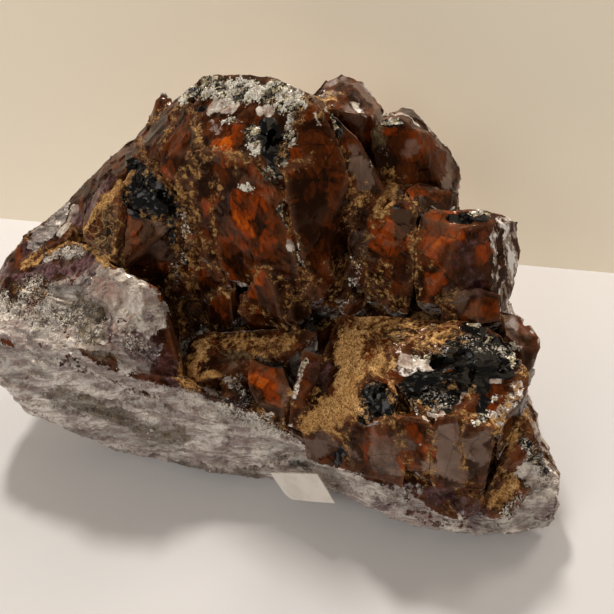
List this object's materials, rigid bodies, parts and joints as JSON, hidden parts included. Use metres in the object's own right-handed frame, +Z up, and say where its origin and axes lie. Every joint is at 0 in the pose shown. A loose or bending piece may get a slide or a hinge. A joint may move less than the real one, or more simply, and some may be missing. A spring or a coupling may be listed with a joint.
{
  "type": "raw amethyst crystal cluster",
  "caption": "Rough hand-sized cluster of short iron-stained quartz crystals on a pale lilac banded matrix, with a bare paper slip stuck to its front.",
  "frame": {"origin": "on the worn flat that the specimen rests on, below its middle", "axes": "+X along the front edge to the right, +Y from the front edge to the back, +Z up"},
  "size_m": [0.188, 0.1079, 0.0967],
  "materials": {
    "amethyst": "glossy broken and grown faces, red-brown iron stain over lilac and milky quartz",
    "paper": "matt, unprinted"
  },
  "bodies": {
    "root": {"amethyst_cluster": "amethyst", "paper_label": "paper"}
  },
  "joints": []
}
